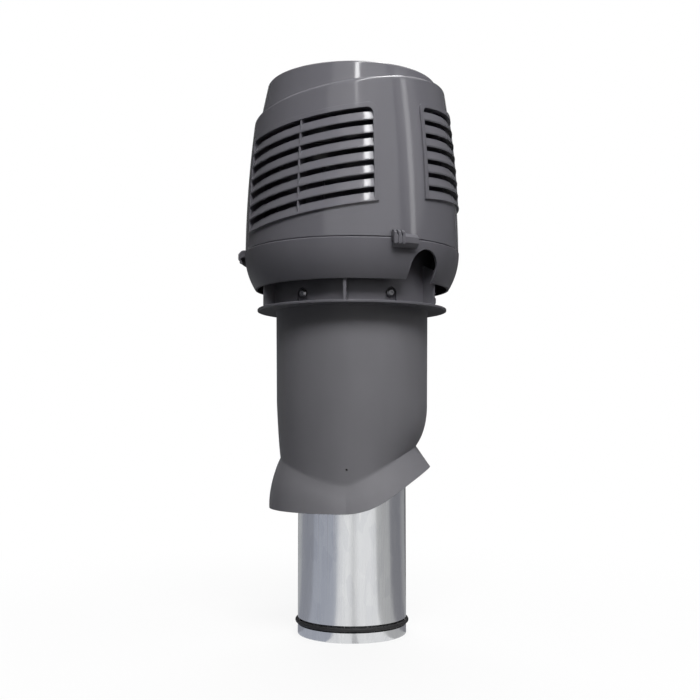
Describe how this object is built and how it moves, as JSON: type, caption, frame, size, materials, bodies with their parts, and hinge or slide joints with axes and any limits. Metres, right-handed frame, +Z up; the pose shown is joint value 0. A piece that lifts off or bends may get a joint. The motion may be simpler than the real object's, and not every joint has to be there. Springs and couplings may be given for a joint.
{
  "type": "roof vent pipe",
  "caption": "Upright roof vent: a louvred hood on an open bowl with webs, a flanged insulated pipe with a flared saddle skirt, and a steel duct end below.",
  "frame": {"origin": "centre of the duct's lower end, on the pipe's axis", "axes": "+Z up along the pipe, +X towards the ridge of the roof, where the skirt's edge rises"},
  "size_m": [0.3343, 0.3256, 0.8165],
  "materials": {
    "hood_plastic": "semi-gloss grey moulding",
    "base_plastic": "semi-gloss dark grey moulding",
    "pipe_plastic": "fine matte grain",
    "foam": "pale foam",
    "galvanised_steel": "bright galvanised sheet",
    "screw_steel": "bright zinc",
    "seal_rubber": "matt black"
  },
  "bodies": {
    "root": {"louvred_hood": "hood_plastic", "hood_base": "base_plastic", "hood_clip_1": "base_plastic", "hood_clip_2": "base_plastic", "hood_clip_3": "base_plastic", "base_screws": "screw_steel", "top_collar": "base_plastic", "outer_pipe": "pipe_plastic", "insulation_sleeve": "foam", "inner_duct": "galvanised_steel", "duct_seal": "seal_rubber"}
  },
  "joints": []
}
